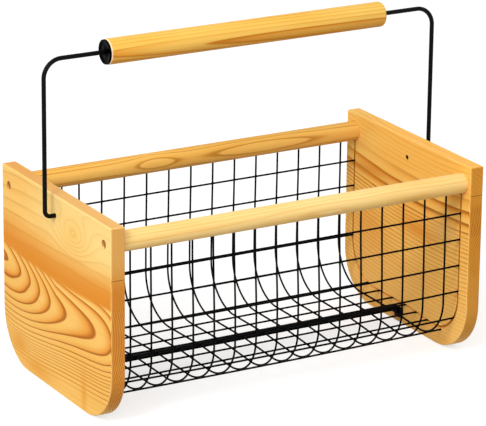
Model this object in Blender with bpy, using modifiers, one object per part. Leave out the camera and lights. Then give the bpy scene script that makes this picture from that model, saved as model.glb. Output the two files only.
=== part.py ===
"""Wire mesh harvest basket: two wooden end boards and two round rails carry a welded wire trough,
with a flat bar under its floor and a swinging wire bail with a turned grip over it.

+X runs along the basket to its right end, -Y is its front and +Z is up. The origin is on the
ground under the middle of the basket. All sizes are in metres.
"""

import math

import bmesh
import bpy

# Fits
fit_gap = 0.0003
pivot_clearance = 0.00045
cut_overrun = 0.001
merge_distance = 0.00001

# End boards
clear_length = 0.417
board_depth = 0.252
board_height = 0.218
board_thickness = 0.016
board_corner_radius = 0.058
board_edge_round = 0.0012

# Round rails along the top, let into the boards
rail_radius = 0.011
rail_edge_inset = 0.016
rail_drop = 0.0205
rail_socket_depth = 0.005
rail_slot_depth = 0.007

# Screws into the rails and the wooden plugs over their heads
rail_screw_length = 0.032
rail_screw_shank_radius = 0.0021
rail_screw_head_radius = 0.0038
rail_screw_head_height = 0.0024
plug_radius = 0.00445
plug_thickness = 0.0018
plug_recess = 0.0016

# Welded wire trough
mesh_wire_radius = 0.00105
weld_depth = 0.0006
trough_floor_z = 0.0226
trough_front_corner_radius = 0.046
trough_back_corner_radius = 0.050
trough_front_sag = 0.004
front_wire_pitch = 0.0238
front_wire_pitch_growth = 0.000245
front_wire_inset = 0.0139
back_wire_pitch = 0.0276
back_wire_left_inset = 0.0055
back_wire_right_inset = 0.0182
crowded_wire_share = 0.19
top_row_drop = 0.035
wall_row_pitch = 0.0297
front_floor_row_pitch = 0.023
back_floor_row_pitch = 0.0266
middle_row_shift = 0.0035
corner_row_shares = (0.37, 0.815)
board_kerf_depth = 0.006

# Flat bar under the trough's floor
bar_width = 0.013
bar_thickness = 0.003
bar_set_back = 0.0055
bar_tab_height = 0.0135
bar_bend_radius = 0.002
bar_screw_length = 0.012
bar_screw_shank_radius = 0.0019
bar_screw_head_radius = 0.0036
bar_screw_head_height = 0.0021

# Swinging bail
bail_wire_radius = 0.0024
bail_pivot_drop = 0.0222
bail_rise = 0.168
bail_leg_gap = 0.0091
bail_top_bend_radius = 0.020
bail_foot_bend_radius = 0.0065
bail_foot_recess = 0.0005

# Turned grip, plain at its right end, with a cap in its left end
grip_radius = 0.01365
grip_length = 0.334
grip_shift = 0.0027
grip_plain_end_round = 0.003
grip_cap_end_round = 0.0008
grip_bore_clearance = 0.0006
cap_radius = 0.0131
cap_flange_thickness = 0.002
cap_rim_width = 0.0014
cap_dish_depth = 0.0011
cap_hub_radius = 0.0052
cap_spigot_radius = 0.0085
cap_spigot_length = 0.009

# Shapes shared by both kinds of screw, as shares of their head or length
screw_flat_share = 0.62
screw_shoulder_share = 0.45
screw_tip_share = 0.2

# Facets of round shapes
quarter_turn = math.pi / 2
smooth_angle = math.radians(35)
flat_angle = math.radians(0.5)
corner_steps = 14
wire_corner_steps = 6
bend_steps = 6
round_edge_steps = 3
rail_sides = 40
grip_sides = 40
small_sides = 20

# Places worked out from the sizes above
board_inner_x = clear_length / 2
board_outer_x = board_inner_x + board_thickness
rail_y = board_depth / 2 - rail_edge_inset
rail_z = board_height - rail_drop
rail_end_x = board_inner_x + rail_socket_depth - fit_gap
plug_bore_radius = plug_radius + fit_gap
plug_bore_depth = plug_recess + plug_thickness + fit_gap + rail_screw_head_height + fit_gap
trough_wall_y = rail_y
trough_knee_y = bar_set_back - bar_width
row_inset = mesh_wire_radius * 2 - weld_depth
row_end_x = board_inner_x + board_kerf_depth - fit_gap
cross_wire_top_z = rail_z - rail_radius + rail_slot_depth - fit_gap
bar_top_z = trough_floor_z - mesh_wire_radius - fit_gap
bar_end_x = board_inner_x - fit_gap
bar_screw_z = bar_top_z - (bar_bend_radius + bar_thickness + bar_tab_height) / 2
bail_pivot_z = board_height - bail_pivot_drop
bail_leg_x = board_outer_x + bail_leg_gap + bail_wire_radius
bail_foot_x = board_inner_x + bail_foot_recess
pivot_hole_radius = bail_wire_radius + pivot_clearance
grip_bore_radius = bail_wire_radius + grip_bore_clearance


def clear_scene():
    for item in list(bpy.data.objects):
        bpy.data.objects.remove(item)


def new_collection(name):
    collection = bpy.data.collections.new(name)
    bpy.context.scene.collection.children.link(collection)
    return collection


def new_material(name, colour, roughness, metallic=0.0):
    material = bpy.data.materials.new(name)
    material.use_nodes = True
    shader = material.node_tree.nodes["Principled BSDF"]
    shader.inputs["Base Color"].default_value = (*colour, 1)
    shader.inputs["Roughness"].default_value = roughness
    shader.inputs["Metallic"].default_value = metallic
    return material


def new_object(name, data, collection):
    item = bpy.data.objects.new(name, data)
    collection.objects.link(item)
    return item


def smooth(mesh):
    """Shades round faces smooth and keeps real corners sharp."""
    mesh.shade_smooth()
    mesh.set_sharp_from_angle(angle=smooth_angle)


def finish(item, material):
    item.data.materials.append(material)
    if item.type == "MESH":
        smooth(item.data)
    return item


def arc(centre, radius, start, end, steps):
    """Points on an arc in a plane, with angles from its first axis towards its second."""
    angles = [start + (end - start) * step / steps for step in range(steps + 1)]
    return [(centre[0] + radius * math.cos(a), centre[1] + radius * math.sin(a)) for a in angles]


def add_spline(curve, points, cyclic=False):
    spline = curve.splines.new("POLY")
    spline.points.add(len(points) - 1)
    for point, place in zip(spline.points, points):
        point.co = (*place, 1)
    spline.use_cyclic_u = cyclic


def wire(name, runs, radius, resolution, collection):
    """Round wire along each run of points."""
    curve = bpy.data.curves.new(name, "CURVE")
    curve.dimensions = "3D"
    curve.bevel_depth = radius
    curve.bevel_resolution = resolution
    curve.use_fill_caps = True
    for run in runs:
        add_spline(curve, run)
    return new_object(name, curve, collection)


def plate(name, points, thickness, collection):
    """Flat closed outline in the local XY plane, thickened evenly along local Z."""
    curve = bpy.data.curves.new(name, "CURVE")
    curve.dimensions = "2D"
    curve.fill_mode = "BOTH"
    curve.extrude = thickness / 2
    add_spline(curve, [(across, up, 0) for across, up in points], cyclic=True)
    return new_object(name, curve, collection)


def as_mesh(curve_object, collection):
    """The same shape as a closed mesh, which Boolean and Bevel modifiers can work on."""
    bpy.context.view_layer.update()
    graph = bpy.context.evaluated_depsgraph_get()
    mesh = bpy.data.meshes.new_from_object(curve_object.evaluated_get(graph))
    shape = bmesh.new()
    shape.from_mesh(mesh)
    bmesh.ops.remove_doubles(shape, verts=shape.verts, dist=merge_distance)
    bmesh.ops.dissolve_limit(shape, angle_limit=flat_angle, verts=shape.verts, edges=shape.edges)
    shape.to_mesh(mesh)
    shape.free()
    name = curve_object.name
    world = curve_object.matrix_world.copy()
    bpy.data.objects.remove(curve_object)
    item = new_object(name, mesh, collection)
    item.matrix_world = world
    return item


def rod(name, radius, length, sides, collection):
    """Round bar along X, centred on its origin."""
    mesh = bpy.data.meshes.new(name)
    shape = bmesh.new()
    bmesh.ops.create_cone(
        shape, cap_ends=True, segments=sides, radius1=radius, radius2=radius, depth=length
    )
    shape.to_mesh(mesh)
    shape.free()
    item = new_object(name, mesh, collection)
    item.rotation_euler = (0, quarter_turn, 0)
    return item


def block(name, size, collection):
    """Rectangular block centred on its origin."""
    mesh = bpy.data.meshes.new(name)
    shape = bmesh.new()
    bmesh.ops.create_cube(shape, size=1)
    bmesh.ops.scale(shape, vec=size, verts=shape.verts)
    shape.to_mesh(mesh)
    shape.free()
    return new_object(name, mesh, collection)


def turned(name, profile, sides, collection, closed):
    """Shape turned about X from (x, radius) points that run from +X to -X on its outer side."""
    mesh = bpy.data.meshes.new(name)
    edges = [(index, index + 1) for index in range(len(profile) - 1)]
    if closed:
        edges.append((len(profile) - 1, 0))
    mesh.from_pydata([(along, radius, 0) for along, radius in profile], edges, [])
    item = new_object(name, mesh, collection)
    screw = item.modifiers.new("Turn", "SCREW")
    screw.axis = "X"
    screw.steps = sides
    screw.render_steps = sides
    screw.use_merge_vertices = True
    screw.merge_threshold = merge_distance
    screw.use_smooth_shade = True
    return item


def place(item, location, facing=1):
    """Moves a piece, and turns it round about Z where it faces -X."""
    item.location = location
    if facing < 0:
        item.rotation_euler.z += math.pi
    return item


def hide_cutter(item):
    item.hide_render = True
    item.display_type = "WIRE"
    return item


def cut(item, cutter, operation="DIFFERENCE"):
    hide_cutter(cutter)
    modifier = item.modifiers.new(cutter.name, "BOOLEAN")
    modifier.operation = operation
    modifier.object = cutter


def trough_corner(row_side):
    """Centre (y, z) and outer radius of the trough's corner at the front (-1) or back (1)."""
    if row_side > 0:
        radius = trough_back_corner_radius
        bottom = trough_floor_z
    else:
        radius = trough_front_corner_radius
        bottom = trough_floor_z - trough_front_sag
    return (trough_wall_y - radius, bottom + radius), radius


def trough_half(row_side, inset, top, steps):
    """One side of the trough's U shape seen from its end, from the floor up, with y positive."""
    centre, outer_radius = trough_corner(row_side)
    radius = outer_radius - inset
    return arc(centre, radius, -quarter_turn, 0, steps) + [(centre[0] + radius, top)]


def trough_path(inset, top, steps):
    """The trough's U shape as (y, z) from the front top to the back top.

    The floor is level over the bar and sinks from its front edge towards the front corner.
    """
    front = [(-y, z) for y, z in reversed(trough_half(-1, inset, top, steps))]
    knee = [(trough_knee_y, trough_floor_z + inset)]
    return front + knee + trough_half(1, inset, top, steps)


def floor_height(y):
    """Height of the cross wires' centres along the trough's floor."""
    front_centre = trough_corner(-1)[0]
    share = (trough_knee_y - y) / (trough_knee_y + front_centre[0])
    return trough_floor_z - trough_front_sag * max(share, 0)


def front_wire_places():
    """How far along X each cross wire stands at the front, a little further apart each time."""
    places = []
    x = front_wire_inset - board_inner_x
    pitch = front_wire_pitch
    while x < board_inner_x - mesh_wire_radius:
        places.append(x)
        x += pitch
        pitch += front_wire_pitch_growth
    return places


def back_wire_places(count):
    """The same at the back, evenly apart but crowded next to the left board."""
    crowded_count = round(count * crowded_wire_share)
    first = back_wire_left_inset - board_inner_x
    last = board_inner_x - back_wire_right_inset
    even_places = [last - index * back_wire_pitch for index in range(count - crowded_count)]
    gap = (even_places[-1] - first) / crowded_count
    return [first + index * gap for index in range(crowded_count)] + even_places[::-1]


def cross_wire_run(front_x, back_x, path):
    """The trough's path in space for a wire that stands at these places along X."""
    width = trough_wall_y * 2
    spread = back_x - front_x
    return [(front_x + spread * (y + trough_wall_y) / width, y, z) for y, z in path]


def row_places():
    """Where the long wires lie inside the cross wires, as (y, z)."""
    places = [(-middle_row_shift, trough_floor_z + row_inset)]
    for row_side, floor_pitch in ((-1, front_floor_row_pitch), (1, back_floor_row_pitch)):
        centre, outer_radius = trough_corner(row_side)
        radius = outer_radius - row_inset
        top_z = rail_z - top_row_drop
        for index in range(int((top_z - centre[1]) / wall_row_pitch) + 1):
            places.append((row_side * (centre[0] + radius), top_z - index * wall_row_pitch))
        for share in corner_row_shares:
            angle = -share * quarter_turn
            corner = arc(centre, radius, angle, angle, 1)[0]
            places.append((row_side * corner[0], corner[1]))
        for index in range(int((centre[0] + row_side * middle_row_shift) / floor_pitch)):
            y = row_side * (index + 1) * floor_pitch - middle_row_shift
            places.append((y, floor_height(y) + row_inset))
    return places


def board_outline():
    """Board seen from its end: square top corners and large round bottom corners."""
    centre = (board_depth / 2 - board_corner_radius, board_corner_radius)
    corner = arc(centre, board_corner_radius, -quarter_turn, 0, corner_steps)
    back = corner + [(board_depth / 2, board_height)]
    return back + [(-y, z) for y, z in reversed(back)]


def kerf_cutter(name, collection):
    """U-shaped saw kerf for the ends of the long wires."""
    half_width = mesh_wire_radius + fit_gap
    inside = trough_path(row_inset + half_width, rail_z, corner_steps)
    outside = trough_path(row_inset - half_width, rail_z, corner_steps)
    depth = board_kerf_depth + cut_overrun
    cutter = plate(name, outside + inside[::-1], depth, collection)
    cutter.rotation_euler = (quarter_turn, 0, quarter_turn)
    return as_mesh(cutter, collection)


def cut_rail_joint(board, facing, row_side, label, collection):
    """Rail socket, screw hole and plug bore of one rail, in line with each other."""
    row_y = row_side * rail_y
    socket = rod(label + "_socket", rail_radius + fit_gap, rail_socket_depth + cut_overrun,
                 rail_sides, collection)
    socket_x = board_inner_x + (rail_socket_depth - cut_overrun) / 2
    cut(board, place(socket, (facing * socket_x, row_y, rail_z)))
    hole = rod(label + "_screw_hole", rail_screw_shank_radius + fit_gap,
               board_thickness + cut_overrun, small_sides, collection)
    cut(board, place(hole, (facing * (board_inner_x + board_thickness / 2), row_y, rail_z)))
    bore = rod(label + "_plug_bore", plug_bore_radius, plug_bore_depth + cut_overrun,
               small_sides, collection)
    bore_x = board_outer_x - (plug_bore_depth - cut_overrun) / 2
    cut(board, place(bore, (facing * bore_x, row_y, rail_z)))


def cut_bail_pivot(board, facing, label, collection):
    """Pivot hole through the board for the bail's foot."""
    hole = rod(label + "_pivot_hole", pivot_hole_radius, board_thickness + cut_overrun,
               small_sides, collection)
    hole_x = board_inner_x + board_thickness / 2
    cut(board, place(hole, (facing * hole_x, 0, bail_pivot_z)))


def make_board(label, facing, material, parts, cutters):
    """End board with every cut that its neighbours need."""
    name = label + "_end_board"
    blank = plate(name, board_outline(), board_thickness, parts)
    blank.rotation_euler = (quarter_turn, 0, quarter_turn)
    blank.location = (facing * (board_inner_x + board_thickness / 2), 0, 0)
    board = finish(as_mesh(blank, parts), material)
    edge = board.modifiers.new("Eased edges", "BEVEL")
    edge.width = board_edge_round
    edge.segments = 2
    edge.limit_method = "ANGLE"
    kerf = kerf_cutter(name + "_kerf", cutters)
    kerf.location.x = facing * (board_inner_x + (board_kerf_depth - cut_overrun) / 2)
    cut(board, kerf)
    for row, row_side in (("front", -1), ("back", 1)):
        cut_rail_joint(board, facing, row_side, name + "_" + row, cutters)
    cut_bail_pivot(board, facing, name, cutters)
    pilot_depth = bar_screw_length - bar_thickness + cut_overrun
    pilot = rod(name + "_bar_pilot", bar_screw_shank_radius + fit_gap, pilot_depth + cut_overrun,
                small_sides, cutters)
    pilot_x = board_inner_x + (pilot_depth - cut_overrun) / 2
    cut(board, place(pilot, (facing * pilot_x, bar_set_back, bar_screw_z)))
    return board


def make_rail(label, row_side, material, parts, cutters):
    """Round rail with a slot underneath for the cross wires and a pilot hole in each end."""
    name = label + "_top_rail"
    location = (0, row_side * rail_y, rail_z)
    rail = finish(rod(name, rail_radius, rail_end_x * 2, rail_sides, parts), material)
    place(rail, location)
    slot_width = (mesh_wire_radius + fit_gap) * 2
    slot = block(name + "_slot", (rail_end_x * 2 + cut_overrun, slot_width,
                                  rail_slot_depth + cut_overrun), cutters)
    slot_z = rail_z - rail_radius + (rail_slot_depth - cut_overrun) / 2
    cut(rail, place(slot, (0, location[1], slot_z)))
    screw_tip_x = board_outer_x - plug_recess - plug_thickness - fit_gap - rail_screw_length
    pilot_bottom_x = screw_tip_x - fit_gap
    pilot_length = rail_end_x - pilot_bottom_x + cut_overrun
    for side, facing in (("left", -1), ("right", 1)):
        pilot = rod(name + "_" + side + "_pilot", rail_screw_shank_radius + fit_gap, pilot_length,
                    small_sides, cutters)
        pilot_x = pilot_bottom_x + pilot_length / 2
        cut(rail, place(pilot, (facing * pilot_x, location[1], rail_z)))
    return rail


def screw_profile(length, shank_radius, head_radius, head_height):
    """Pan-head wood screw with its head's top at the origin and its tip towards -X."""
    return [
        (0, 0),
        (0, head_radius * screw_flat_share),
        (-head_height * screw_shoulder_share, head_radius),
        (-head_height, head_radius),
        (-head_height, shank_radius),
        (-length * (1 - screw_tip_share), shank_radius),
        (-length, 0),
    ]


def make_rail_fixings(material_steel, material_wood, parts):
    """One screw and one plug at each end of each rail."""
    profile = screw_profile(
        rail_screw_length, rail_screw_shank_radius, rail_screw_head_radius, rail_screw_head_height
    )
    plug_x = board_outer_x - plug_recess - plug_thickness / 2
    screw_x = board_outer_x - plug_recess - plug_thickness - fit_gap
    for side, facing in (("left", -1), ("right", 1)):
        for row, row_side in (("front", -1), ("back", 1)):
            label = side + "_" + row
            screw = turned(label + "_rail_screw", profile, small_sides, parts, closed=False)
            finish(screw, material_steel)
            place(screw, (facing * screw_x, row_side * rail_y, rail_z), facing)
            plug = rod(label + "_screw_plug", plug_radius, plug_thickness, small_sides, parts)
            finish(plug, material_wood)
            place(plug, (facing * plug_x, row_side * rail_y, rail_z))


def make_trough(material, parts, cutters):
    """Cross wires bent to a U with the long wires welded inside them, as one body."""
    path = trough_path(0, cross_wire_top_z, wire_corner_steps)
    front_places = front_wire_places()
    back_places = back_wire_places(len(front_places))
    cross_runs = [cross_wire_run(front_x, back_x, path)
                  for front_x, back_x in zip(front_places, back_places)]
    row_runs = [[(-row_end_x, y, z), (row_end_x, y, z)] for y, z in row_places()]
    trough = as_mesh(wire("wire_mesh_trough", cross_runs, mesh_wire_radius, 0, parts), parts)
    rows = as_mesh(wire("wire_mesh_rows", row_runs, mesh_wire_radius, 0, cutters), cutters)
    cut(trough, rows, operation="UNION")
    return finish(trough, material)


def bar_outline():
    """Bar seen from the front: a long flat with a tab bent down at each end."""
    outer_radius = bar_bend_radius + bar_thickness
    bend = (bar_end_x - outer_radius, bar_top_z - outer_radius)
    tab_z = bar_top_z - bar_tab_height
    outer = arc(bend, outer_radius, quarter_turn, 0, bend_steps) + [(bar_end_x, tab_z)]
    inner = arc(bend, bar_bend_radius, 0, quarter_turn, bend_steps)
    right = outer + [(bar_end_x - bar_thickness, tab_z)] + inner
    return right + [(-x, z) for x, z in reversed(right)]


def make_bar(material, parts, cutters):
    """Flat steel bar under the floor, screwed to both boards through its tabs."""
    blank = plate("bottom_support_bar", bar_outline(), bar_width, parts)
    blank.rotation_euler = (quarter_turn, 0, 0)
    blank.location.y = bar_set_back
    bar = finish(as_mesh(blank, parts), material)
    for side, facing in (("left", -1), ("right", 1)):
        hole = rod("bar_hole_" + side, bar_screw_shank_radius + fit_gap,
                   bar_thickness + cut_overrun * 2, small_sides, cutters)
        hole_x = bar_end_x - bar_thickness / 2
        cut(bar, place(hole, (facing * hole_x, bar_set_back, bar_screw_z)))
    return bar


def make_bar_screws(material, parts):
    profile = screw_profile(
        bar_screw_length + bar_screw_head_height, bar_screw_shank_radius, bar_screw_head_radius,
        bar_screw_head_height,
    )
    head_x = bar_end_x - bar_thickness - fit_gap - bar_screw_head_height
    for side, facing in (("left", -1), ("right", 1)):
        screw = turned(side + "_bar_screw", profile, small_sides, parts, closed=False)
        finish(screw, material)
        place(screw, (facing * head_x, bar_set_back, bar_screw_z), -facing)


def bail_path():
    """Centreline of the bail in its own XZ plane, with the pivot axis at z = 0."""
    foot_centre = (bail_leg_x - bail_foot_bend_radius, bail_foot_bend_radius)
    foot_bend = arc(foot_centre, bail_foot_bend_radius, -quarter_turn, 0, bend_steps)
    top_centre = (bail_leg_x - bail_top_bend_radius, bail_rise - bail_top_bend_radius)
    top_bend = arc(top_centre, bail_top_bend_radius, 0, quarter_turn, bend_steps)
    right = [(bail_foot_x, 0)] + foot_bend + top_bend
    return [(-x, 0, z) for x, z in right] + [(x, 0, z) for x, z in reversed(right)]


def make_bail(material, parts):
    """Bent wire whose feet turn in the boards. Its origin is on the pivot axis."""
    bail = finish(wire("bail_wire", [bail_path()], bail_wire_radius, 3, parts), material)
    bail.location = (0, 0, bail_pivot_z)
    return bail


def grip_profile():
    """Turned grip with rounded ends, a bore for the wire and a seat for the cap at -X."""
    end_x = grip_length / 2
    plain_centre = (end_x - grip_plain_end_round, grip_radius - grip_plain_end_round)
    cap_centre = (grip_cap_end_round - end_x, grip_radius - grip_cap_end_round)
    seat_radius = cap_spigot_radius + fit_gap
    seat_x = cap_spigot_length + fit_gap - end_x
    profile = [(end_x, grip_bore_radius)]
    profile += arc(plain_centre, grip_plain_end_round, 0, quarter_turn, round_edge_steps)
    profile += arc(cap_centre, grip_cap_end_round, quarter_turn, math.pi, round_edge_steps)
    return profile + [(-end_x, seat_radius), (seat_x, seat_radius), (seat_x, grip_bore_radius)]


def cap_profile():
    """Dished cap that faces +X, with a rim, a hub round the wire and a spigot for the grip."""
    bore_radius = bail_wire_radius + fit_gap
    dish_x = cap_flange_thickness - cap_dish_depth
    return [
        (cap_flange_thickness, bore_radius),
        (cap_flange_thickness, cap_hub_radius - cap_rim_width),
        (dish_x, cap_hub_radius),
        (dish_x, cap_radius - cap_rim_width * 2),
        (cap_flange_thickness, cap_radius - cap_rim_width),
        (cap_flange_thickness / 2, cap_radius),
        (0, cap_radius),
        (0, cap_spigot_radius),
        (-cap_spigot_length, cap_spigot_radius),
        (-cap_spigot_length, bore_radius),
    ]


def make_grip(bail, material_wood, material_cap, parts):
    """Grip and cap that turn round the bail's top wire. Their origins are on its axis."""
    grip = turned("grip_handle", grip_profile(), grip_sides, parts, closed=True)
    finish(grip, material_wood)
    grip.parent = bail
    grip.location = (grip_shift, 0, bail_rise)
    cap = turned("left_grip_cap", cap_profile(), grip_sides, parts, closed=True)
    finish(cap, material_cap)
    cap.parent = grip
    place(cap, (-grip_length / 2 - fit_gap, 0, 0), -1)


def build():
    clear_scene()
    parts = new_collection("wire_mesh_harvest_basket")
    cutters = new_collection("cutters")
    pine = new_material("lacquered_pine", (0.86, 0.53, 0.19), 0.35)
    pale_pine = new_material("pale_pine", (0.93, 0.68, 0.34), 0.38)
    grip_wood = new_material("grip_wood", (0.88, 0.56, 0.20), 0.32)
    plug_wood = new_material("plug_wood", (0.70, 0.43, 0.17), 0.5)
    coated_wire = new_material("black_coated_wire", (0.012, 0.012, 0.013), 0.42)
    black_steel = new_material("black_painted_steel", (0.014, 0.014, 0.015), 0.38)
    bail_black = new_material("black_bail_wire", (0.012, 0.012, 0.013), 0.3)
    cap_plastic = new_material("black_plastic", (0.015, 0.015, 0.016), 0.45)
    plated_steel = new_material("plated_screw_steel", (0.55, 0.54, 0.5), 0.35, metallic=1.0)
    for side, facing in (("left", -1), ("right", 1)):
        make_board(side, facing, pine, parts, cutters)
    for row, row_side in (("front", -1), ("back", 1)):
        make_rail(row, row_side, pale_pine, parts, cutters)
    make_rail_fixings(plated_steel, plug_wood, parts)
    make_trough(coated_wire, parts, cutters)
    make_bar(black_steel, parts, cutters)
    make_bar_screws(black_steel, parts)
    bail = make_bail(bail_black, parts)
    make_grip(bail, grip_wood, cap_plastic, parts)


build()
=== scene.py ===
"""Looks, light and camera for the wire mesh harvest basket.

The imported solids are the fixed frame. The boards, rails, screws, plugs and bar keep their solids and
get their wood, steel and paint here. The wire trough, the bail, the grip and its cap are replaced by
finer pieces in the same places. All sizes are in metres, X runs from board to board and Z up.
"""

import math

import bpy
from mathutils import Matrix, Vector


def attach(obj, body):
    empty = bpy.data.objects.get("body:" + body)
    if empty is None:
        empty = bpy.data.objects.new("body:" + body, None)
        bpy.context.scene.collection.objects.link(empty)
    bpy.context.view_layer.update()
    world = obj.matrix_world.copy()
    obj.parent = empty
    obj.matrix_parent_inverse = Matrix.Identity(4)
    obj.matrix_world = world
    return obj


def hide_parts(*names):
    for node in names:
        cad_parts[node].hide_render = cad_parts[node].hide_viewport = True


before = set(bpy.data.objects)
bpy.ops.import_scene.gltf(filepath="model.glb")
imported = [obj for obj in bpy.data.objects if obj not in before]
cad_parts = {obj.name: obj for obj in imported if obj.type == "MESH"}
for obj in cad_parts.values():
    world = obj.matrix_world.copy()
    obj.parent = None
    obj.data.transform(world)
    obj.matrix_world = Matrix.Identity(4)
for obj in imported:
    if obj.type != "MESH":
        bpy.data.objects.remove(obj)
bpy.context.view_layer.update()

# The photograph's frame in pixels and the camera that took it
frame_width = 486
frame_height = 426
focal_pixels = 3087.962
principal_point = (246.244, 198.486)
sensor_width = 36.0
camera_place = (-1.5738, -2.7269, 1.2061)
camera_azimuth = math.radians(-30.058)
camera_elevation = math.radians(18.051)
camera_roll = math.radians(0.640)

# Light
sky_strength = 0.64
seen_white = 1.0
floor_shade = 0.45
floor_glow = 0.67
floor_half_size = 6.0
lamp_target = (0.0, 0.0, 0.15)
key_place = (-2.3, -1.2, 2.1)
key_size = 0.8
key_power = 30.0
fill_place = (-2.1, -1.75, 2.2)
fill_size = 3.0
fill_power = 58.0
top_place = (0.2, 0.2, 2.6)
top_size = 2.2
top_power = 3.0

# Boards, as in the solids
board_inner_x = 0.2085
board_outer_x = 0.2245
board_half_depth = 0.126
board_height = 0.218
board_corner_radius = 0.058

# Rails, as in the solids
rail_y = 0.110
rail_z = 0.1975

# Wire trough, as in the solids
mesh_wire_radius = 0.00105
weld_depth = 0.0006
trough_floor_z = 0.0226
trough_front_corner_radius = 0.046
trough_back_corner_radius = 0.050
trough_front_sag = 0.004
trough_wall_y = 0.110
trough_knee_y = -0.0075
front_wire_pitch = 0.0238
front_wire_pitch_growth = 0.000245
front_wire_inset = 0.0139
back_wire_pitch = 0.0276
back_wire_left_inset = 0.0055
back_wire_right_inset = 0.0182
crowded_wire_share = 0.19
cross_wire_top_z = 0.1932
top_row_z = 0.1625
wall_row_pitch = 0.0297
front_floor_row_pitch = 0.023
back_floor_row_pitch = 0.0266
middle_row_shift = 0.0035
corner_row_shares = (0.37, 0.815)
row_end_x = 0.2142

# How the mesh bulges between the boards, which the solids leave out
front_bulge = 0.0045
back_bulge = 0.002
bulge_top_z = 0.185
bulge_full_z = 0.085

# Welds, which stand a little proud of the wires
weld_width = 0.00155
weld_thickness = 0.00135

# Bail
bail_wire_radius = 0.0024
bail_pivot_z = 0.1958
bail_rise = 0.168
bail_leg_x = 0.236
bail_foot_x = 0.209
bail_top_bend_radius = 0.020
bail_foot_bend_radius = 0.0065

# Grip and cap
grip_z = bail_pivot_z + bail_rise
grip_radius = 0.01365
grip_length = 0.334
grip_shift = 0.0027
grip_plain_end_round = 0.003
grip_cap_end_round = 0.0008
grip_bore_radius = 0.003
cap_radius = 0.0131
cap_flange_thickness = 0.002
cap_rim_width = 0.0014
cap_dish_depth = 0.0011
cap_hub_radius = 0.0052
cap_spigot_radius = 0.0085
cap_spigot_length = 0.009
cap_edge_round = 0.0005
fit_gap = 0.0003

# Glue joints between the staves of the boards
left_joint_z = 0.162
right_joint_z = 0.186

# How finely round shapes are drawn
quarter_turn = math.pi / 2
corner_steps = 24
bend_steps = 24
row_steps = 32
plain_end_steps = 8
edge_steps = 4
turned_sides = 96
turned_sharp_angle = math.radians(40)
mesh_wire_sides = 12
mesh_sharp_angle = math.radians(50)
weld_sides = 10
weld_rings = 6
bail_resolution = 8

# Noise textures: how many layers of detail and how strong the finer ones are
plain_detail = 2.0
plain_roughness = 0.5
fine_detail = 3.0
grain_detail = 4.0
fine_roughness = 0.6

# Which of x, y and z the grain runs along
grain_in_boards = 1
grain_in_turned = 0

# The sRGB curve: where its straight part ends and how steep that is, then the rest of the curve
srgb_straight_end = 0.04045
srgb_straight_slope = 12.92
srgb_offset = 0.055
srgb_power = 2.4
brightest_byte = 255

# Sockets of the Mix node for colours: the share and both colours, and the result
mix_inputs = (0, 6, 7)
mix_output = 2


def tint(code):
    """Linear colour of a six-digit sRGB code."""
    values = [byte / brightest_byte for byte in bytes.fromhex(code)]
    return tuple(
        value / srgb_straight_slope if value <= srgb_straight_end
        else ((value + srgb_offset) / (1 + srgb_offset)) ** srgb_power
        for value in values
    )


class Nodes:
    """The node tree of a material or the world, with a short call for each kind of node."""

    def __init__(self, owner):
        owner.use_nodes = True
        self.owner = owner
        self.tree = owner.node_tree

    def feed(self, socket, value):
        if isinstance(value, bpy.types.NodeSocket):
            self.tree.links.new(value, socket)
        elif socket.type == "RGBA":
            socket.default_value = (*value, 1)
        else:
            socket.default_value = value

    def node(self, kind, inputs=(), **settings):
        node = self.tree.nodes.new("ShaderNode" + kind)
        for key, value in settings.items():
            setattr(node, key, value)
        for key, value in dict(inputs).items():
            self.feed(node.inputs[key], value)
        return node

    def math(self, operation, *values):
        return self.node("Math", enumerate(values), operation=operation).outputs[0]

    def minus(self, value, amount):
        return self.math("SUBTRACT", value, amount)

    def divided(self, value, divisor):
        return self.math("DIVIDE", value, divisor)

    def total(self, *values):
        result = values[0]
        for value in values[1:]:
            result = self.math("ADD", result, value)
        return result

    def product(self, *values):
        result = values[0]
        for value in values[1:]:
            result = self.math("MULTIPLY", result, value)
        return result

    def power_series(self, value, terms):
        """terms[0] + terms[1] value + terms[2] value squared, and so on."""
        result = terms[-1]
        for term in reversed(terms[:-1]):
            result = self.math("MULTIPLY_ADD", value, result, term)
        return result

    def absolute(self, value):
        return self.math("ABSOLUTE", value)

    def length(self, *values):
        return self.math("SQRT", self.total(*[self.product(value, value) for value in values]))

    def combine(self, x, y, z):
        return self.node("CombineXYZ", {"X": x, "Y": y, "Z": z}).outputs[0]

    def separate(self, vector):
        return self.node("SeparateXYZ", {"Vector": vector}).outputs

    def noise(self, vector, scale=1.0, detail=plain_detail, roughness=plain_roughness):
        inputs = {"Vector": vector, "Scale": scale, "Detail": detail, "Roughness": roughness}
        return self.node("TexNoise", inputs).outputs[0]

    def step(self, value, span, ends=(0.0, 1.0)):
        """Smooth change from one end to the other as value goes through the span."""
        inputs = {
            "Value": value, "From Min": span[0], "From Max": span[1], "To Min": ends[0], "To Max": ends[1],
        }
        return self.node("MapRange", inputs, interpolation_type="SMOOTHSTEP").outputs[0]

    def mix(self, factor, first, second, blend="MIX"):
        node = self.node("Mix", data_type="RGBA", blend_type=blend, clamp_factor=True)
        for index, value in zip(mix_inputs, (factor, first, second)):
            self.feed(node.inputs[index], value)
        return node.outputs[mix_output]

    def choose(self, test, first, second):
        """The first value where the test is 0 and the second where it is 1."""
        return self.math("MULTIPLY_ADD", test, self.minus(second, first), first)

    def bump(self, height, distance, strength):
        inputs = {"Height": height, "Distance": distance, "Strength": strength}
        return self.node("Bump", inputs).outputs[0]

    def surface(self, **values):
        """Sets the shader's own sockets, whose names are given with _ for a space."""
        shader = self.tree.nodes["Principled BSDF"]
        for key, value in values.items():
            self.feed(shader.inputs[key.replace("_", " ").title().replace("Ior", "IOR")], value)
        return self.owner


def new_paint(name):
    return Nodes(bpy.data.materials.new(name))


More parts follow.
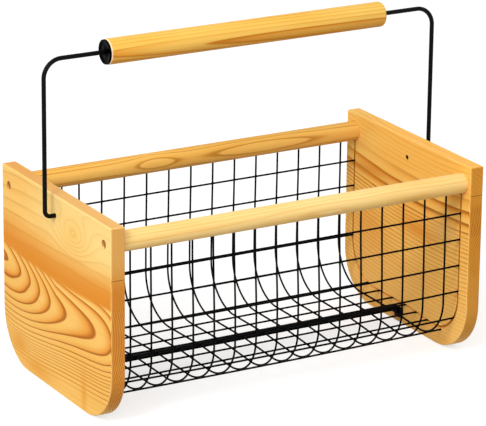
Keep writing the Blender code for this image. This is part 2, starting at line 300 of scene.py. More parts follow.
def object_axes(paint):
    """x, y and z of a place on the object, and the same of the direction that its surface faces."""
    coordinates = paint.node("TexCoord").outputs
    return paint.separate(coordinates["Object"]), paint.separate(coordinates["Normal"])


def stretched_noise(paint, axes, scales, detail=plain_detail, roughness=plain_roughness):
    """Noise with its own scale along each axis, for detail drawn out along the grain."""
    vector = paint.combine(*[paint.product(axis, scale) for axis, scale in zip(axes, scales)])
    return paint.noise(vector, detail=detail, roughness=roughness)


def along_grain(along, cross_scale, long_scale):
    scales = [cross_scale] * 3
    scales[along] = long_scale
    return scales


def wander(paint, axes, scales, amount):
    """Slow wandering, about zero."""
    middle = 0.5
    return paint.product(paint.minus(stretched_noise(paint, axes, scales), middle), amount)


def spot(paint, values, centre, reach):
    """1 in the middle of a soft oval and 0 well outside it."""
    parts = [
        paint.divided(paint.minus(value, middle), width)
        for value, middle, width in zip(values, centre, reach)
    ]
    away = paint.length(*parts)
    return paint.math("EXPONENT", paint.product(away, away, -1.0))


def ring_marks(paint, rings, look):
    """Late wood of each ring over a ring count: a soft glow that ends in a crisp line."""
    phase = paint.math("FRACT", paint.total(rings, look["line_peak"]))
    end = paint.step(phase, (look["line_peak"], look["line_end"]), (1.0, 0.0))
    glow = paint.product(paint.step(phase, (look["glow_start"], look["line_peak"])), end)
    line = paint.product(paint.step(phase, (look["line_start"], look["line_peak"])), end)
    return glow, line


def wood_colour(paint, rings, strength, axes, along, look, glow_strength=1.0):
    """Colour, late wood and fibre height of wood from a ring count that runs over the surface."""
    uneven_span = (0.25, 0.75)
    zone_span = (0.3, 0.7)
    fibre_span = (0.35, 0.75)
    fibre_scales = along_grain(along, look["fibre_cross_scale"], look["fibre_long_scale"])
    zone_scales = along_grain(along, look["zone_cross_scale"], look["zone_long_scale"])
    fibres = stretched_noise(paint, axes, fibre_scales, fine_detail, fine_roughness)
    zones = stretched_noise(paint, axes, zone_scales)
    glow, line = ring_marks(paint, rings, look)
    uneven = paint.step(zones, uneven_span, (look["line_low"], look["line_high"]))
    glow = paint.product(glow, strength, glow_strength, look["glow_share"])
    line = paint.product(line, strength, uneven)
    colour = paint.mix(paint.step(zones, zone_span), tint(look["pale"]), tint(look["honey"]))
    fibre_share = paint.step(fibres, fibre_span, (0.0, look["fibre_share"]))
    colour = paint.mix(fibre_share, colour, tint(look["fibre"]))
    colour = paint.mix(glow, colour, tint(look["glow"]))
    colour = paint.mix(line, colour, tint(look["line"]))
    return colour, line, fibres


def wood_finish(paint, colour, line, fibres, facing, along, look):
    """End grain, darker in its own tone and darkened further as painted shade, lacquer and the fine relief
    of the grain.
    """
    end_grain_span = (0.45, 0.95)
    rough_span = (0.2, 0.8)
    fibre_height = 0.5
    line_height = 0.6
    bump_strength = 0.5
    # The end grain's own darker tone, deepened as painted shade on the faces across the grain, such as the
    # boards' front edges
    end = paint.step(paint.absolute(facing[along]), end_grain_span, (0.0, look["end_tone_and_shade_share"]))
    colour = paint.mix(end, colour, tint(look["end"]), "MULTIPLY")
    height = paint.total(paint.product(fibres, fibre_height), paint.product(line, line_height))
    return paint.surface(
        base_color=colour,
        roughness=paint.step(fibres, rough_span, (look["rough_low"], look["rough_high"])),
        normal=paint.bump(height, look["relief"], bump_strength),
        coat_weight=look["coat"],
        coat_roughness=look["coat_roughness"],
        specular_ior_level=look["gloss"],
    )


# Pine: its colours, how fine its fibres and zones are, and where each ring's glow and line start,
# peak and end, as shares of the ring
pine_look = {
    "pale": "FBCB70", "honey": "F5BD5E", "fibre": "E6A23A", "glow": "E68A12", "line": "A65806",
    # End grain colour: its own darker tone and painted shade on the faces across the grain
    "end": "E0BB94", "end_tone_and_shade_share": 0.8,
    "fibre_cross_scale": 900.0, "fibre_long_scale": 14.0, "fibre_share": 0.3,
    "zone_cross_scale": 26.0, "zone_long_scale": 5.0,
    "glow_start": 0.2, "glow_share": 0.95,
    "line_start": 0.64, "line_peak": 0.86, "line_end": 0.95, "line_low": 0.75, "line_high": 1.0,
    "relief": 0.0003, "rough_low": 0.36, "rough_high": 0.52,
    "coat": 0.03, "coat_roughness": 0.25, "gloss": 0.04,
}

# The right board's pine: its own grain, and colours brighter than the left board's as painted light on its
# less lit inner face
painted_light_pine_look = dict(
    pine_look, pale="FFCE6C", honey="FFBE58", fibre="F2A63A", glow="F2A038", line="AC6212", end="D2B880",
    glow_start=0.15, glow_share=0.8, line_start=0.55, line_low=0.3, line_high=0.85,
)

# Turned pieces: where the heart of the tree lies from the piece's middle, how far it rises along X,
# how far apart the rings are, how they slope and wander, and where they bulge (x, width, height)
front_rail_look = dict(
    pine_look, pale="FFE09A", honey="FDD182", fibre="EFB65A", glow="F4BC60", line="DC983E",
    glow_share=0.35, line_low=0.1, line_high=0.4,
    heart_y=0.030, heart_z=0.012, heart_rise=0.0, ring_gap=0.0032, ring_slope=0.006,
    ring_wander=0.003, bumps=((0.02, 0.05, 0.0014), (0.13, 0.04, 0.001)),
)
back_rail_look = dict(
    pine_look, pale="F6C468", honey="F0B24E", glow="E29A3A", line="B4701E",
    glow_share=0.35, line_start=0.66, line_low=0.55, line_high=0.95,
    heart_y=0.0376, heart_z=-0.007, heart_rise=0.0, ring_gap=0.0028, ring_slope=0.001,
    ring_wander=0.0006, bumps=((-0.053, 0.028, 0.0020), (0.080, 0.077, 0.0022)),
)
grip_look = dict(
    pine_look, pale="F8CE6A", honey="F0BA50", fibre="E2A03A", glow="DE8C24", line="A85C10",
    glow_share=0.9, line_low=0.5, line_high=0.9, coat=0.05,
    heart_y=-0.0325, heart_z=-0.0090, heart_rise=-0.063, ring_gap=0.0042, ring_slope=-0.0345,
    ring_wander=0.0003, bumps=(),
)


def arched_rings(paint, axes):
    """Ring count and strength on the left board below its band, and the height over the heart.

    The heart of the tree lies behind the outer face, where it makes arches. Its depth and height
    are power series over y, because it nears the face and rises towards the back.
    """
    heart_depth = (0.0610, -0.1168, -0.6258, 1.1563, 30.596)
    heart_height = (0.0945, 0.0039, 0.2965, 1.6683)
    depth_stretch = 2.2
    upper_stretch = (0.211, 2.81)
    back_spread = -5.28
    back_spread_easing = 0.006
    wander_scales = (12.0, 5.0, 12.0)
    wander_amount = 0.0002
    first_ring_at = 0.04637
    wide_gap = 0.00426
    crowded_at = 0.08305
    crowded_reach = 0.00697
    crowded_half_count = 1.745
    fading_span = (0.092, 0.104)
    far_strength = 0.12
    x, y, z = axes
    inward = paint.product(paint.total(x, board_outer_x), depth_stretch)
    depth = paint.minus(paint.power_series(y, heart_depth), inward)
    rise = paint.minus(z, paint.power_series(y, heart_height))
    above = paint.math("MAXIMUM", rise, 0.0)
    stretched_rise = paint.total(rise, paint.product(above, paint.power_series(y, upper_stretch)))
    behind = paint.math("MAXIMUM", y, 0.0)
    eased_rise = paint.product(paint.total(rise, paint.length(rise, back_spread_easing)), 0.5)
    distance = paint.total(
        paint.length(depth, stretched_rise), paint.product(behind, eased_rise, back_spread),
        wander(paint, axes, wander_scales, wander_amount),
    )
    crowding = paint.math("TANH", paint.divided(paint.minus(distance, crowded_at), crowded_reach))
    wide_count = paint.divided(paint.minus(distance, first_ring_at), wide_gap)
    count = paint.math(
        "MULTIPLY_ADD", crowding, crowded_half_count, paint.total(wide_count, crowded_half_count),
    )
    return count, paint.step(distance, fading_span, (1.0, far_strength)), rise


def knot_rings(paint, axes, knot):
    """Ring count on the left board above its band, where the rings lie level but for the knot."""
    slope_x = 2.4
    slope_y = 0.02
    slope_z = 0.45
    knot_lift = 0.026
    wander_scales = (30.0, 8.0, 40.0)
    wander_amount = 0.005
    ring_gap = 0.0064
    x, y, z = axes
    height = paint.total(
        paint.product(z, slope_z), paint.product(y, slope_y), paint.product(x, slope_x),
        paint.product(knot, knot_lift), wander(paint, axes, wander_scales, wander_amount),
    )
    return paint.divided(height, ring_gap)


def height_over_band(paint, axes):
    """How far a place lies over the lower edge of the left board's orange band."""
    band_height = (0.1255, 0.0, 0.37)
    wander_scales = (30.0, 12.0, 30.0)
    wander_amount = 0.006
    y, z = axes[1:]
    height = paint.minus(z, paint.power_series(y, band_height))
    return paint.total(height, wander(paint, axes, wander_scales, wander_amount))


def left_board_wood():
    """Arched rings below an orange band, and faint rings about a small knot above it."""
    knot_centre = (-0.041, 0.186)
    knot_reach = (0.032, 0.019)
    knot_strength = 0.45
    upper_strength = 0.22
    flank_span = (-0.036, -0.010)
    flank_glow = 0.3
    paint = new_paint("left_board_pine")
    axes, facing = object_axes(paint)
    y, z = axes[1:]
    lower_rings, lower_strength, rise = arched_rings(paint, axes)
    knot = spot(paint, (y, z), knot_centre, knot_reach)
    top_knot = paint.product(knot, paint.math("GREATER_THAN", z, left_joint_z))
    over_band = height_over_band(paint, axes)
    is_upper = paint.math("GREATER_THAN", over_band, 0.0)
    rings = paint.choose(is_upper, lower_rings, knot_rings(paint, axes, top_knot))
    strength = paint.choose(
        is_upper, lower_strength, paint.math("MULTIPLY_ADD", knot, knot_strength, upper_strength),
    )
    glow_strength = paint.step(rise, flank_span, (flank_glow, 1.0))
    colour, line, fibres = wood_colour(
        paint, rings, strength, axes, grain_in_boards, pine_look, glow_strength,
    )
    colour = with_left_patches(paint, colour, axes, facing, over_band, top_knot)
    colour = with_joint(paint, colour, z, facing, left_joint_z)
    # Painted highlight along the arrises
    colour = with_edge_highlights(paint, colour, axes)
    return wood_finish(paint, colour, line, fibres, facing, grain_in_boards, pine_look)


def with_left_patches(paint, colour, axes, facing, over_band, top_knot):
    """The orange band, the pale top and the knot's warmth, a few stains and painted shade on the top face.
    """
    band_start_span = (-0.0035, 0.0015)
    band_end_span = (0.006, 0.050)
    end_grain_span = (0.3, 0.9)
    band_shares = (0.92, 0.4)
    pale_span = (0.150, 0.188)
    pale_depth_span = (-0.02, 0.10)
    pale_shares = (0.6, 0.1)
    knot_share = 0.45
    stain_share = 0.65
    stains = (
        ((0.088, 0.026), (0.02, 0.012)), ((0.045, 0.010), (0.03, 0.010)),
        ((-0.064, 0.02), (0.006, 0.02)),
    )
    top_face_shade_span = (0.9, 0.98)
    y, z = axes[1:]
    band = paint.product(
        paint.step(over_band, band_start_span), paint.step(over_band, band_end_span, (1.0, 0.0)),
        paint.step(paint.absolute(facing[grain_in_boards]), end_grain_span, band_shares),
    )
    colour = paint.mix(band, colour, tint("DE8618"))
    pale = paint.product(paint.step(z, pale_span), paint.step(y, pale_depth_span, pale_shares))
    colour = paint.mix(pale, colour, tint("FCE096"))
    colour = paint.mix(paint.product(top_knot, knot_share), colour, tint("F6BE4C"))
    for centre, reach in stains:
        stain = spot(paint, (y, z), centre, reach)
        colour = paint.mix(paint.product(stain, stain_share), colour, tint("E4962A"))
    # Painted shade: the upward face is darkened
    return paint.mix(paint.step(facing[2], top_face_shade_span), colour, tint("EFD8C6"), "MULTIPLY")


def with_joint(paint, colour, z, facing, joint_z):
    """A fine line where two staves are glued, darker on the end grain."""
    end_grain_span = (0.3, 0.9)
    shares = (0.08, 0.8)
    line_span = (0.0001, 0.0006)
    share = paint.step(paint.absolute(facing[grain_in_boards]), end_grain_span, shares)
    line = paint.step(paint.absolute(paint.minus(z, joint_z)), line_span, (1.0, 0.0))
    return paint.mix(paint.product(line, share), colour, tint("7A4A18"))


def board_edge_distance(paint, axes):
    """How far a place on a board's surface is from the nearest arris."""
    x, y, z = axes
    from_middle = paint.absolute(x)
    to_side = paint.math(
        "MINIMUM", paint.minus(board_outer_x, from_middle), paint.minus(from_middle, board_inner_x),
    )
    corner_y = board_half_depth - board_corner_radius
    out = paint.math("MAXIMUM", paint.minus(paint.absolute(y), corner_y), 0.0)
    down = paint.math("MAXIMUM", paint.minus(board_corner_radius, z), 0.0)
    to_corner = paint.minus(board_corner_radius, paint.length(out, down))
    to_outline = paint.math("MINIMUM", paint.minus(board_height, z), to_corner)
    return paint.math("MAXIMUM", to_side, to_outline)


def with_edge_highlights(paint, colour, axes):
    """Painted highlight along the arrises, stronger in some places than in others."""
    highlight_patch_scales = (40.0, 40.0, 40.0)
    highlight_patch_span = (0.3, 0.65)
    highlight_shares = (0.08, 0.4)
    edge_span = (0.0006, 0.0022)
    highlight_patches = stretched_noise(paint, axes, highlight_patch_scales, fine_detail, fine_roughness)
    edge_highlight = paint.product(
        paint.step(board_edge_distance(paint, axes), edge_span, (1.0, 0.0)),
        paint.step(highlight_patches, highlight_patch_span, highlight_shares),
    )
    return paint.mix(edge_highlight, colour, tint("FFE09A"))


def level_rings(paint, axes, is_top):
    """Ring count on the right board: fine gaps below, wide ones above, and a stave on top."""
    sag = (0.0, 0.04, 0.5)
    slow_scales = (30.0, 7.0, 40.0)
    slow_amount = 0.005
    quick_scales = (60.0, 4.0, 130.0)
    quick_amount = 0.003
    first_ring_z = 0.151
    wide_gap = 0.0135
    fine_below_z = 0.142
    fine_gap = 0.0047
    thickness_gap = 0.0021
    top_slope = 0.8
    top_gap = 0.0056
    x, y, z = axes
    level = paint.minus(z, paint.power_series(y, sag))
    level = paint.total(
        level, wander(paint, axes, slow_scales, slow_amount),
        wander(paint, axes, quick_scales, quick_amount),
    )
    wide = paint.divided(paint.minus(level, first_ring_z), wide_gap)
    under = paint.math("MINIMUM", paint.minus(level, fine_below_z), 0.0)
    fine = paint.product(under, 1 / fine_gap - 1 / wide_gap)
    across = paint.product(paint.minus(x, board_inner_x), 1 / thickness_gap)
    top_rings = paint.divided(paint.total(level, paint.product(x, top_slope)), top_gap)
    return paint.choose(is_top, paint.total(wide, fine, across), top_rings)


def right_board_wood():
    """Level rings, fine below and wide above, with orange and pale patches, and painted light that pales
    the lower part.
    """
    low_span = (0.018, 0.06)
    low_strengths = (0.5, 1.0)
    high_from_z = 0.14
    high_span = (0.168, 0.180)
    high_strengths = (1.7, 0.35)
    top_strength = 0.22
    patches = (
        ((0.075, 0.095), (0.035, 0.024), 0.6, "EE9830"), ((-0.024, 0.119), (0.036, 0.011), 0.85, "E88E24"),
        ((-0.080, 0.133), (0.030, 0.016), 0.6, "FFCE78"), ((0.075, 0.160), (0.05, 0.008), 0.75, "D88424"),
    )
    pale_span = (0.03, 0.14)
    pale_shares = (0.5, 0.0)
    paint = new_paint("right_board_pine")
    axes, facing = object_axes(paint)
    y, z = axes[1:]
    is_top = paint.math("GREATER_THAN", z, right_joint_z)
    rings = level_rings(paint, axes, is_top)
    strength = paint.choose(
        paint.math("GREATER_THAN", z, high_from_z),
        paint.step(z, low_span, low_strengths), paint.step(z, high_span, high_strengths),
    )
    strength = paint.choose(is_top, strength, top_strength)
    colour, line, fibres = wood_colour(paint, rings, strength, axes, grain_in_boards, painted_light_pine_look)
    for centre, reach, share, code in patches:
        patch = spot(paint, (y, z), centre, reach)
        colour = paint.mix(paint.product(patch, share), colour, tint(code))
    # Painted light: the lower part of the board is paler, fading out towards 14 cm up
    colour = paint.mix(paint.step(z, pale_span, pale_shares), colour, tint("FFC26C"))
    colour = with_joint(paint, colour, z, facing, right_joint_z)
    # Painted highlight along the arrises
    colour = with_edge_highlights(paint, colour, axes)
    return wood_finish(paint, colour, line, fibres, facing, grain_in_boards, painted_light_pine_look)


def turned_rings(paint, axes, look, centre_y, centre_z):
    """Ring count of a round piece along X, about a slanting, bent heart outside it."""
    wander_scales = (9.0, 60.0, 60.0)
    x, y, z = axes
    depth = paint.minus(y, centre_y + look["heart_y"])
    rise = paint.total(z, -centre_z - look["heart_z"], paint.product(x, -look["heart_rise"]))
    distance = paint.total(
        paint.length(depth, rise), paint.product(x, look["ring_slope"]),
        wander(paint, axes, wander_scales, look["ring_wander"]),
    )
    for bump_x, width, height in look["bumps"]:
        distance = paint.total(distance, paint.product(spot(paint, (x,), (bump_x,), (width,)), height))
    return paint.divided(distance, look["ring_gap"])


def rail_wood(name, look, centre_y):
    paint = new_paint(name)
    axes, facing = object_axes(paint)
    rings = turned_rings(paint, axes, look, centre_y, rail_z)
    colour, line, fibres = wood_colour(paint, rings, 1.0, axes, grain_in_turned, look)
    return wood_finish(paint, colour, line, fibres, facing, grain_in_turned, look)


def grip_wood():
    """Rings that show most low on the grip's front, which is darker there from painted shade that is
    partly the wood's own colour, and a painted highlight on the rim at its cap.
    """
    front_lowering = 0.6
    strength_span = (-0.009, -0.001)
    top_strength = 0.3
    low_shade_span = (-0.016, -0.002)
    low_shade_share = 0.45
    rim_x = grip_shift - grip_length / 2
    rim_highlight_reach = 0.0012
    rim_highlight_share = 0.85
    paint = new_paint("grip_pine")
    axes, facing = object_axes(paint)
    x, y, z = axes
    rings = turned_rings(paint, axes, grip_look, 0.0, grip_z)
    # Height over the grip's middle, taken as lower at the front and higher at the back
    height = paint.math("MULTIPLY_ADD", y, front_lowering, paint.minus(z, grip_z))
    strength = paint.step(height, strength_span, (1.0, top_strength))
    colour, line, fibres = wood_colour(paint, rings, strength, axes, grain_in_turned, grip_look)
    # Painted shade, partly the wood's own colour: the lower front is darkened
    colour = paint.mix(paint.step(height, low_shade_span, (low_shade_share, 0.0)), colour, tint("DE9434"))
    # Painted highlight on the rounded rim at the cap end
    rim_highlight = spot(paint, (x,), (rim_x,), (rim_highlight_reach,))
    colour = paint.mix(paint.product(rim_highlight, rim_highlight_share), colour, tint("FFF2D6"))
    return wood_finish(paint, colour, line, fibres, facing, grain_in_turned, grip_look)


def black_material(name, dark, light, rough, grain_scale, relief=0.0001, gloss=0.02):
    """Black coating with fine unevenness in its sheen and a slightly paler dusting."""
    patch_scale = 60.0
    patch_span = (0.4, 0.75)
    grain_span = (0.3, 0.7)
    bump_strength = 0.4
    paint = new_paint(name)
    place = paint.node("TexCoord").outputs["Object"]
    grain = paint.noise(place, grain_scale, grain_detail, fine_roughness)
    patches = paint.noise(place, patch_scale)
    return paint.surface(
        base_color=paint.mix(paint.step(patches, patch_span), tint(dark), tint(light)),
        roughness=paint.step(grain, grain_span, rough),
        normal=paint.bump(grain, relief, bump_strength),
        specular_ior_level=gloss,
    )


def steel_material():
    """Plated steel with fine scratches along the screws."""
    scratch_scales = (200.0, 2400.0, 2400.0)
    scratch_span = (0.3, 0.7)
    rough = (0.28, 0.45)
    paint = new_paint("plated_screw_steel")
    scratches = stretched_noise(paint, object_axes(paint)[0], scratch_scales)
    return paint.surface(
        base_color=paint.mix(scratches, tint("A8A49A"), tint("CFCABC")),
        roughness=paint.step(scratches, scratch_span, rough),
        metallic=1.0,
    )


def shaded_plug_material():
    """Wood of the plugs, darkened as painted shade of the bores they sit in, with fine level streaks."""
    streak_scales = (60.0, 80.0, 1200.0)
    streak_span = (0.3, 0.7)
    rough = 0.6
    relief = 0.0003
    bump_strength = 0.4
    paint = new_paint("plug_wood")
    streaks = stretched_noise(paint, object_axes(paint)[0], streak_scales, fine_detail, fine_roughness)
    return paint.surface(
        base_color=paint.mix(paint.step(streaks, streak_span), tint("A8763A"), tint("7C5226")),
        roughness=rough,
        normal=paint.bump(streaks, relief, bump_strength),
    )


def arc(centre, radius, start, end, steps):
    angles = [start + (end - start) * step / steps for step in range(steps + 1)]
    return [(centre[0] + radius * math.cos(a), centre[1] + radius * math.sin(a)) for a in angles]


def around(count):
    """Cosine and sine of evenly spaced angles over a full turn."""
    angles = [math.tau * index / count for index in range(count)]
    return [(math.cos(angle), math.sin(angle)) for angle in angles]


def add_object(name, data):
    item = bpy.data.objects.new(name, data)
    bpy.context.scene.collection.objects.link(item)
    return item


def add_smooth_mesh(name, vertices, faces, sharp_angle):
    mesh = bpy.data.meshes.new(name)
    mesh.from_pydata(vertices, [], faces)
    mesh.shade_smooth()
    mesh.set_sharp_from_angle(angle=sharp_angle)
    return add_object(name, mesh)


def add_wire(name, run, radius):
    """Round wire along a run of points, with closed ends."""
    curve = bpy.data.curves.new(name, "CURVE")
    curve.dimensions = "3D"
    curve.bevel_depth = radius
    curve.bevel_resolution = bail_resolution
    curve.use_fill_caps = True
    spline = curve.splines.new("POLY")
    spline.points.add(len(run) - 1)
    for point, place in zip(spline.points, run):
        point.co = (*place, 1)
    spline.use_smooth = True
    return add_object(name, curve)


def turned(name, profile, centre):
    """Solid turned about X through a centre from a closed (x, radius) profile."""
    vertices = [
        (centre[0] + along, centre[1] + radius * cosine, centre[2] + radius * sine)
        for cosine, sine in around(turned_sides)
        for along, radius in profile
    ]
    faces = []
    count = len(profile)
    for side in range(turned_sides):
        here = side * count
        there = (side + 1) % turned_sides * count
        for index in range(count):
            following = (index + 1) % count
            faces.append((here + index, here + following, there + following, there + index))
    return add_smooth_mesh(name, vertices, faces, turned_sharp_angle)


def trough_corner(row_side):
    """Centre (y, z) and radius of the corner that the cross wires turn at the front (-1) or back (1)."""
    if row_side > 0:
        radius = trough_back_corner_radius
        bottom = trough_floor_z
    else:
        radius = trough_front_corner_radius
        bottom = trough_floor_z - trough_front_sag
    return (trough_wall_y - radius, bottom + radius), radius


def trough_half(row_side):
    """One side of the trough's U shape seen from its end, from the floor up, with y positive."""
    centre, radius = trough_corner(row_side)
    wall_base = centre[1]
    wall = [
        (trough_wall_y, wall_base + (cross_wire_top_z - wall_base) * step / corner_steps)
        for step in range(1, corner_steps + 1)
    ]
    return arc(centre, radius, -quarter_turn, 0, corner_steps) + wall


def trough_path():
    """Middle line of a cross wire, seen from its end, from the front's top to the back's."""
    front = [(-y, z) for y, z in reversed(trough_half(-1))]
    return front + [(trough_knee_y, trough_floor_z)] + trough_half(1)


def floor_height(y):
    """Height of the cross wires' centres along the trough's floor."""
    front_centre = trough_corner(-1)[0]
    share = (trough_knee_y - y) / (trough_knee_y + front_centre[0])
    return trough_floor_z - trough_front_sag * max(share, 0)


def front_wire_places():
    """How far along X each cross wire stands at the front, a little further apart each time."""
    places = []
    x = front_wire_inset - board_inner_x
    pitch = front_wire_pitch
    while x < board_inner_x - mesh_wire_radius:
        places.append(x)
        x += pitch
        pitch += front_wire_pitch_growth
    return places


def back_wire_places(count):
    """The same at the back, evenly apart but crowded next to the left board."""
    crowded_count = round(count * crowded_wire_share)
    first = back_wire_left_inset - board_inner_x
    last = board_inner_x - back_wire_right_inset
    even_places = [last - index * back_wire_pitch for index in range(count - crowded_count)]
    gap = (even_places[-1] - first) / crowded_count
    return [first + index * gap for index in range(crowded_count)] + even_places[::-1]


def corner_row(row_side, share, inset):
    """Place (y, z) of a long wire in the trough's corner and its way out to the cross wires."""
    centre, radius = trough_corner(row_side)
    angle = -share * quarter_turn
    out_y = row_side * math.cos(angle)
    out_z = math.sin(angle)
    # The lowest wire seen at the front runs outside the cross wires
    is_outside = row_side < 0 and share == corner_row_shares[-1]
    side = -1 if is_outside else 1
    reach = radius - side * inset
    return row_side * centre[0] + reach * out_y, centre[1] + reach * out_z, side * out_y, side * out_z


def row_places():
    """Where the long wires lie: (y, z) and the way out to the cross wires that they touch."""
    inset = mesh_wire_radius * 2 - weld_depth
    places = [(-middle_row_shift, trough_floor_z + inset, 0, -1)]
    for row_side, floor_pitch in ((-1, front_floor_row_pitch), (1, back_floor_row_pitch)):
        centre, radius = trough_corner(row_side)
        wall_y = row_side * (centre[0] + radius - inset)
        for index in range(int((top_row_z - centre[1]) / wall_row_pitch) + 1):
            places.append((wall_y, top_row_z - index * wall_row_pitch, row_side, 0))
        places += [corner_row(row_side, share, inset) for share in corner_row_shares]
        for index in range(int((centre[0] + row_side * middle_row_shift) / floor_pitch)):
            y = row_side * (index + 1) * floor_pitch - middle_row_shift
            places.append((y, floor_height(y) + inset, 0, -1))
    return places


def smooth_share(value, start, end):
    """0 at the start, 1 at the end and a smooth change between them."""
    share = min(max((value - start) / (end - start), 0), 1)
    return share * share * (3 - 2 * share)


def bulged(x, y, z):
    """Place on the trough moved as its walls bulge between the boards."""
    along = max(1 - (x / board_inner_x) ** 2, 0)
    height = smooth_share(z, bulge_top_z, bulge_full_z)
    amount = front_bulge if y < 0 else back_bulge
    return Vector((x, y + amount * along * height * y / trough_wall_y, z))


def on_cross_wire(front_x, back_x, y, z):
    """Place by a cross wire, which leans from its place at the front to the one at the back."""
    x = front_x + (back_x - front_x) * (y + trough_wall_y) / (trough_wall_y * 2)
    return bulged(x, y, z)


def add_bands(faces, first, sides, count):
    """Quads between rings of vertices that follow each other."""
    for index in range(count):
        here = first + index * sides
        for side in range(sides):
            following = (side + 1) % sides
            faces.append((here + side, here + following, here + sides + following, here + sides + side))


def add_tube(vertices, faces, points, reference):
    """Wire along points, with closed ends; its sides are counted from a fixed direction."""
    first = len(vertices)
    for index, point in enumerate(points):
        ahead = points[min(index + 1, len(points) - 1)] - points[max(index - 1, 0)]
        across = reference.cross(ahead).normalized()
        aside = ahead.normalized().cross(across)
        for cosine, sine in around(mesh_wire_sides):
            vertices.append(point + mesh_wire_radius * (cosine * across + sine * aside))
    last = len(vertices) - mesh_wire_sides
    add_bands(faces, first, mesh_wire_sides, len(points) - 1)
    faces.append(tuple(first + side for side in reversed(range(mesh_wire_sides))))
    faces.append(tuple(last + side for side in range(mesh_wire_sides)))


def add_weld(vertices, faces, centre, outward):
    """Flattened bead round a crossing of two wires, from its inner side out."""
    along = Vector((1, 0, 0))
    across = outward.cross(along)
    first = len(vertices)
    for ring in range(1, weld_rings):
        angle = math.pi * ring / weld_rings
        middle = centre - weld_thickness * math.cos(angle) * outward
        for cosine, sine in around(weld_sides):
            vertices.append(middle + weld_width * math.sin(angle) * (cosine * along + sine * across))
    last = len(vertices) - weld_sides
    add_bands(faces, first, weld_sides, weld_rings - 2)
    faces.append(tuple(first + side for side in reversed(range(weld_sides))))
    faces.append(tuple(last + side for side in range(weld_sides)))


def make_trough(material):
    """The long wires, the bent cross wires and a weld wherever two of them meet."""
    vertices = []
    faces = []
    rows = row_places()
    row_xs = [row_end_x * (2 * step / row_steps - 1) for step in range(row_steps + 1)]
    for y, z, out_y, out_z in rows:
        add_tube(vertices, faces, [bulged(x, y, z) for x in row_xs], Vector((0, -out_z, out_y)))
    path = trough_path()
    front_places = front_wire_places()
    weld_middle = mesh_wire_radius - weld_depth / 2
    for front_x, back_x in zip(front_places, back_wire_places(len(front_places))):
        points = [on_cross_wire(front_x, back_x, y, z) for y, z in path]
        add_tube(vertices, faces, points, Vector((1, 0, 0)))
        for y, z, out_y, out_z in rows:
            outward = Vector((0, out_y, out_z))
            middle = on_cross_wire(front_x, back_x, y, z) + outward * weld_middle
            add_weld(vertices, faces, middle, outward)
    trough = add_smooth_mesh("welded_wires", vertices, faces, mesh_sharp_angle)
    trough.data.materials.append(material)
    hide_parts("wire_mesh_trough")
    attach(trough, "basket")


def make_bail(material):
    foot_centre = (bail_leg_x - bail_foot_bend_radius, bail_foot_bend_radius)
    foot_bend = arc(foot_centre, bail_foot_bend_radius, -quarter_turn, 0, bend_steps)
    top_centre = (bail_leg_x - bail_top_bend_radius, bail_rise - bail_top_bend_radius)
    top_bend = arc(top_centre, bail_top_bend_radius, 0, quarter_turn, bend_steps)
    right = [(bail_foot_x, 0)] + foot_bend + top_bend
    path = [(-x, 0, bail_pivot_z + z) for x, z in right]
    path += [(x, 0, bail_pivot_z + z) for x, z in reversed(right)]
    bail = add_wire("bent_bail_wire", path, bail_wire_radius)
    bail.data.materials.append(material)
    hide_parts("bail_wire")
    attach(bail, "bail")


def make_grip(material):
    """Turned grip with its right end plain and rounded, and its left end bored for the cap."""
    end_x = grip_length / 2
    seat_radius = cap_spigot_radius + fit_gap
    seat_x = cap_spigot_length + fit_gap - end_x
    plain_end = (end_x - grip_plain_end_round, grip_radius - grip_plain_end_round)
    cap_end = (grip_cap_end_round - end_x, grip_radius - grip_cap_end_round)
    profile = [
        (end_x, grip_bore_radius),
        *arc(plain_end, grip_plain_end_round, 0, quarter_turn, plain_end_steps),
        *arc(cap_end, grip_cap_end_round, quarter_turn, math.pi, edge_steps),
        (-end_x, seat_radius),
        (seat_x, seat_radius),
        (seat_x, grip_bore_radius),
    ]
    grip = turned("turned_grip", profile, (grip_shift, 0, grip_z))
    grip.data.materials.append(material)
    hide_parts("grip_handle")
    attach(grip, "grip")


def make_cap(material):
    """Cap with a dished face round a low hub, and a spigot that sits in the grip."""
    bore_radius = bail_wire_radius + fit_gap
    front = -cap_flange_thickness
    dish = cap_dish_depth - cap_flange_thickness
    edge_centre = (front + cap_edge_round, cap_radius - cap_edge_round)
    profile = [
        (cap_spigot_length, bore_radius),
        (cap_spigot_length, cap_spigot_radius),
        (0, cap_spigot_radius),
        (0, cap_radius),
        *arc(edge_centre, cap_edge_round, quarter_turn, math.pi, edge_steps),
        (front, cap_radius - cap_rim_width),
        (dish, cap_radius - cap_rim_width * 2),
        (dish, cap_hub_radius),
        (front, cap_hub_radius - cap_rim_width),
        (front, bore_radius),
    ]
    cap = turned("dished_cap", profile, (grip_shift - grip_length / 2 - fit_gap, 0, grip_z))
    cap.data.materials.append(material)
    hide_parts("left_grip_cap")
    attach(cap, "grip")


def dress(node, material):
    """Gives a solid of the frame its material."""
    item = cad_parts[node]
    item.data.materials.clear()
    item.data.materials.append(material)


def seen_directly(nodes):
    """1 for the rays that show the background: straight to the camera, mirrored or through glass."""
    path = nodes.node("LightPath").outputs
    mirrored = nodes.math("MAXIMUM", path["Is Camera Ray"], path["Is Glossy Ray"])
    return nodes.math("MAXIMUM", mirrored, path["Is Transmission Ray"])


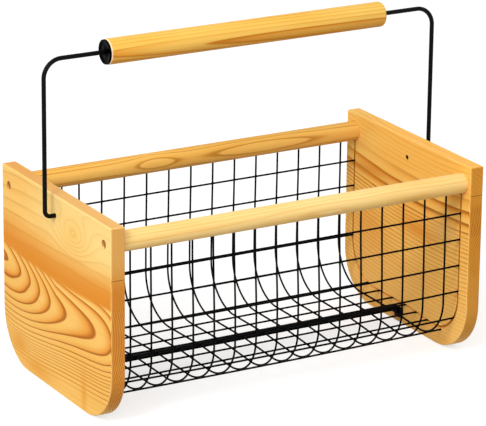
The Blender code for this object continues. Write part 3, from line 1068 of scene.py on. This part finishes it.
def make_floor():
    """White floor that glows for the camera and still takes the object's shadow."""
    paint = new_paint("white_floor")
    diffuse = paint.node("BsdfDiffuse", {"Color": (floor_shade, floor_shade, floor_shade)})
    glow = paint.node("Emission", {"Strength": paint.product(seen_directly(paint), floor_glow)})
    both = paint.node("AddShader", {0: diffuse.outputs[0], 1: glow.outputs[0]})
    paint.feed(paint.tree.nodes["Material Output"].inputs["Surface"], both.outputs[0])
    mesh = bpy.data.meshes.new("floor")
    reach = floor_half_size
    corners = [(-reach, -reach, 0), (reach, -reach, 0), (reach, reach, 0), (-reach, reach, 0)]
    mesh.from_pydata(corners, [], [(0, 1, 2, 3)])
    floor = add_object("floor", mesh)
    mesh.materials.append(paint.owner)


def make_world():
    """Even white studio, seen at full white behind the object."""
    world = bpy.data.worlds.new("studio")
    bpy.context.scene.world = world
    nodes = Nodes(world)
    inputs = {"Value": seen_directly(nodes), "To Min": sky_strength, "To Max": seen_white}
    background = nodes.tree.nodes["Background"]
    nodes.feed(background.inputs["Color"], (1, 1, 1))
    nodes.feed(background.inputs["Strength"], nodes.node("MapRange", inputs).outputs[0])


def add_lamp(name, place, size, power):
    lamp = bpy.data.lights.new(name, "AREA")
    lamp.shape = "RECTANGLE"
    lamp.size = size
    lamp.size_y = size
    lamp.energy = power
    item = add_object(name, lamp)
    item.location = place
    aim = Vector(lamp_target) - Vector(place)
    item.rotation_euler = aim.to_track_quat("-Z", "Y").to_euler()


def make_camera():
    side = Vector((math.cos(camera_azimuth), math.sin(camera_azimuth), 0))
    back = Vector((
        math.sin(camera_azimuth) * math.cos(camera_elevation),
        -math.cos(camera_azimuth) * math.cos(camera_elevation),
        math.sin(camera_elevation),
    ))
    up = back.cross(side)
    rolled_side = math.cos(camera_roll) * side + math.sin(camera_roll) * up
    rolled_up = -math.sin(camera_roll) * side + math.cos(camera_roll) * up
    data = bpy.data.cameras.new("camera")
    data.sensor_fit = "HORIZONTAL"
    data.sensor_width = sensor_width
    data.lens = focal_pixels * sensor_width / frame_width
    data.shift_x = (frame_width / 2 - principal_point[0]) / frame_width
    data.shift_y = (principal_point[1] - frame_height / 2) / frame_width
    camera = add_object("camera", data)
    turn = Matrix((rolled_side, rolled_up, back)).transposed().to_4x4()
    camera.matrix_world = Matrix.Translation(camera_place) @ turn
    bpy.context.scene.camera = camera


bpy.context.scene.view_settings.view_transform = "Standard"
make_camera()
make_world()
make_floor()
add_lamp("key", key_place, key_size, key_power)
add_lamp("fill", fill_place, fill_size, fill_power)
add_lamp("top", top_place, top_size, top_power)

dress("left_end_board", left_board_wood())
dress("right_end_board", right_board_wood())
dress("front_top_rail", rail_wood("front_rail_pine", front_rail_look, -rail_y))
dress("back_top_rail", rail_wood("back_rail_pine", back_rail_look, rail_y))
# Plug wood, darkened as painted shade of the bores
plug = shaded_plug_material()
steel = steel_material()
for side in ("left", "right"):
    for row in ("front", "back"):
        dress(f"{side}_{row}_screw_plug", plug)
        dress(f"{side}_{row}_rail_screw", steel)
bar_paint = black_material(
    "black_bar_paint", dark="060607", light="0E0E0F", rough=(0.42, 0.58), grain_scale=700.0, relief=0.0002,
)
dress("bottom_support_bar", bar_paint)
dress("left_bar_screw", bar_paint)
dress("right_bar_screw", bar_paint)
make_trough(black_material(
    "wire_coating", dark="050506", light="0C0C0D", rough=(0.4, 0.55), grain_scale=1500.0,
))
make_bail(black_material(
    "bail_coating", dark="030304", light="09090A", rough=(0.34, 0.5), grain_scale=900.0, gloss=0.08,
))
make_grip(grip_wood())
make_cap(black_material(
    "cap_plastic", dark="000000", light="020203", rough=(0.2, 0.3), grain_scale=1200.0, gloss=0.015,
))
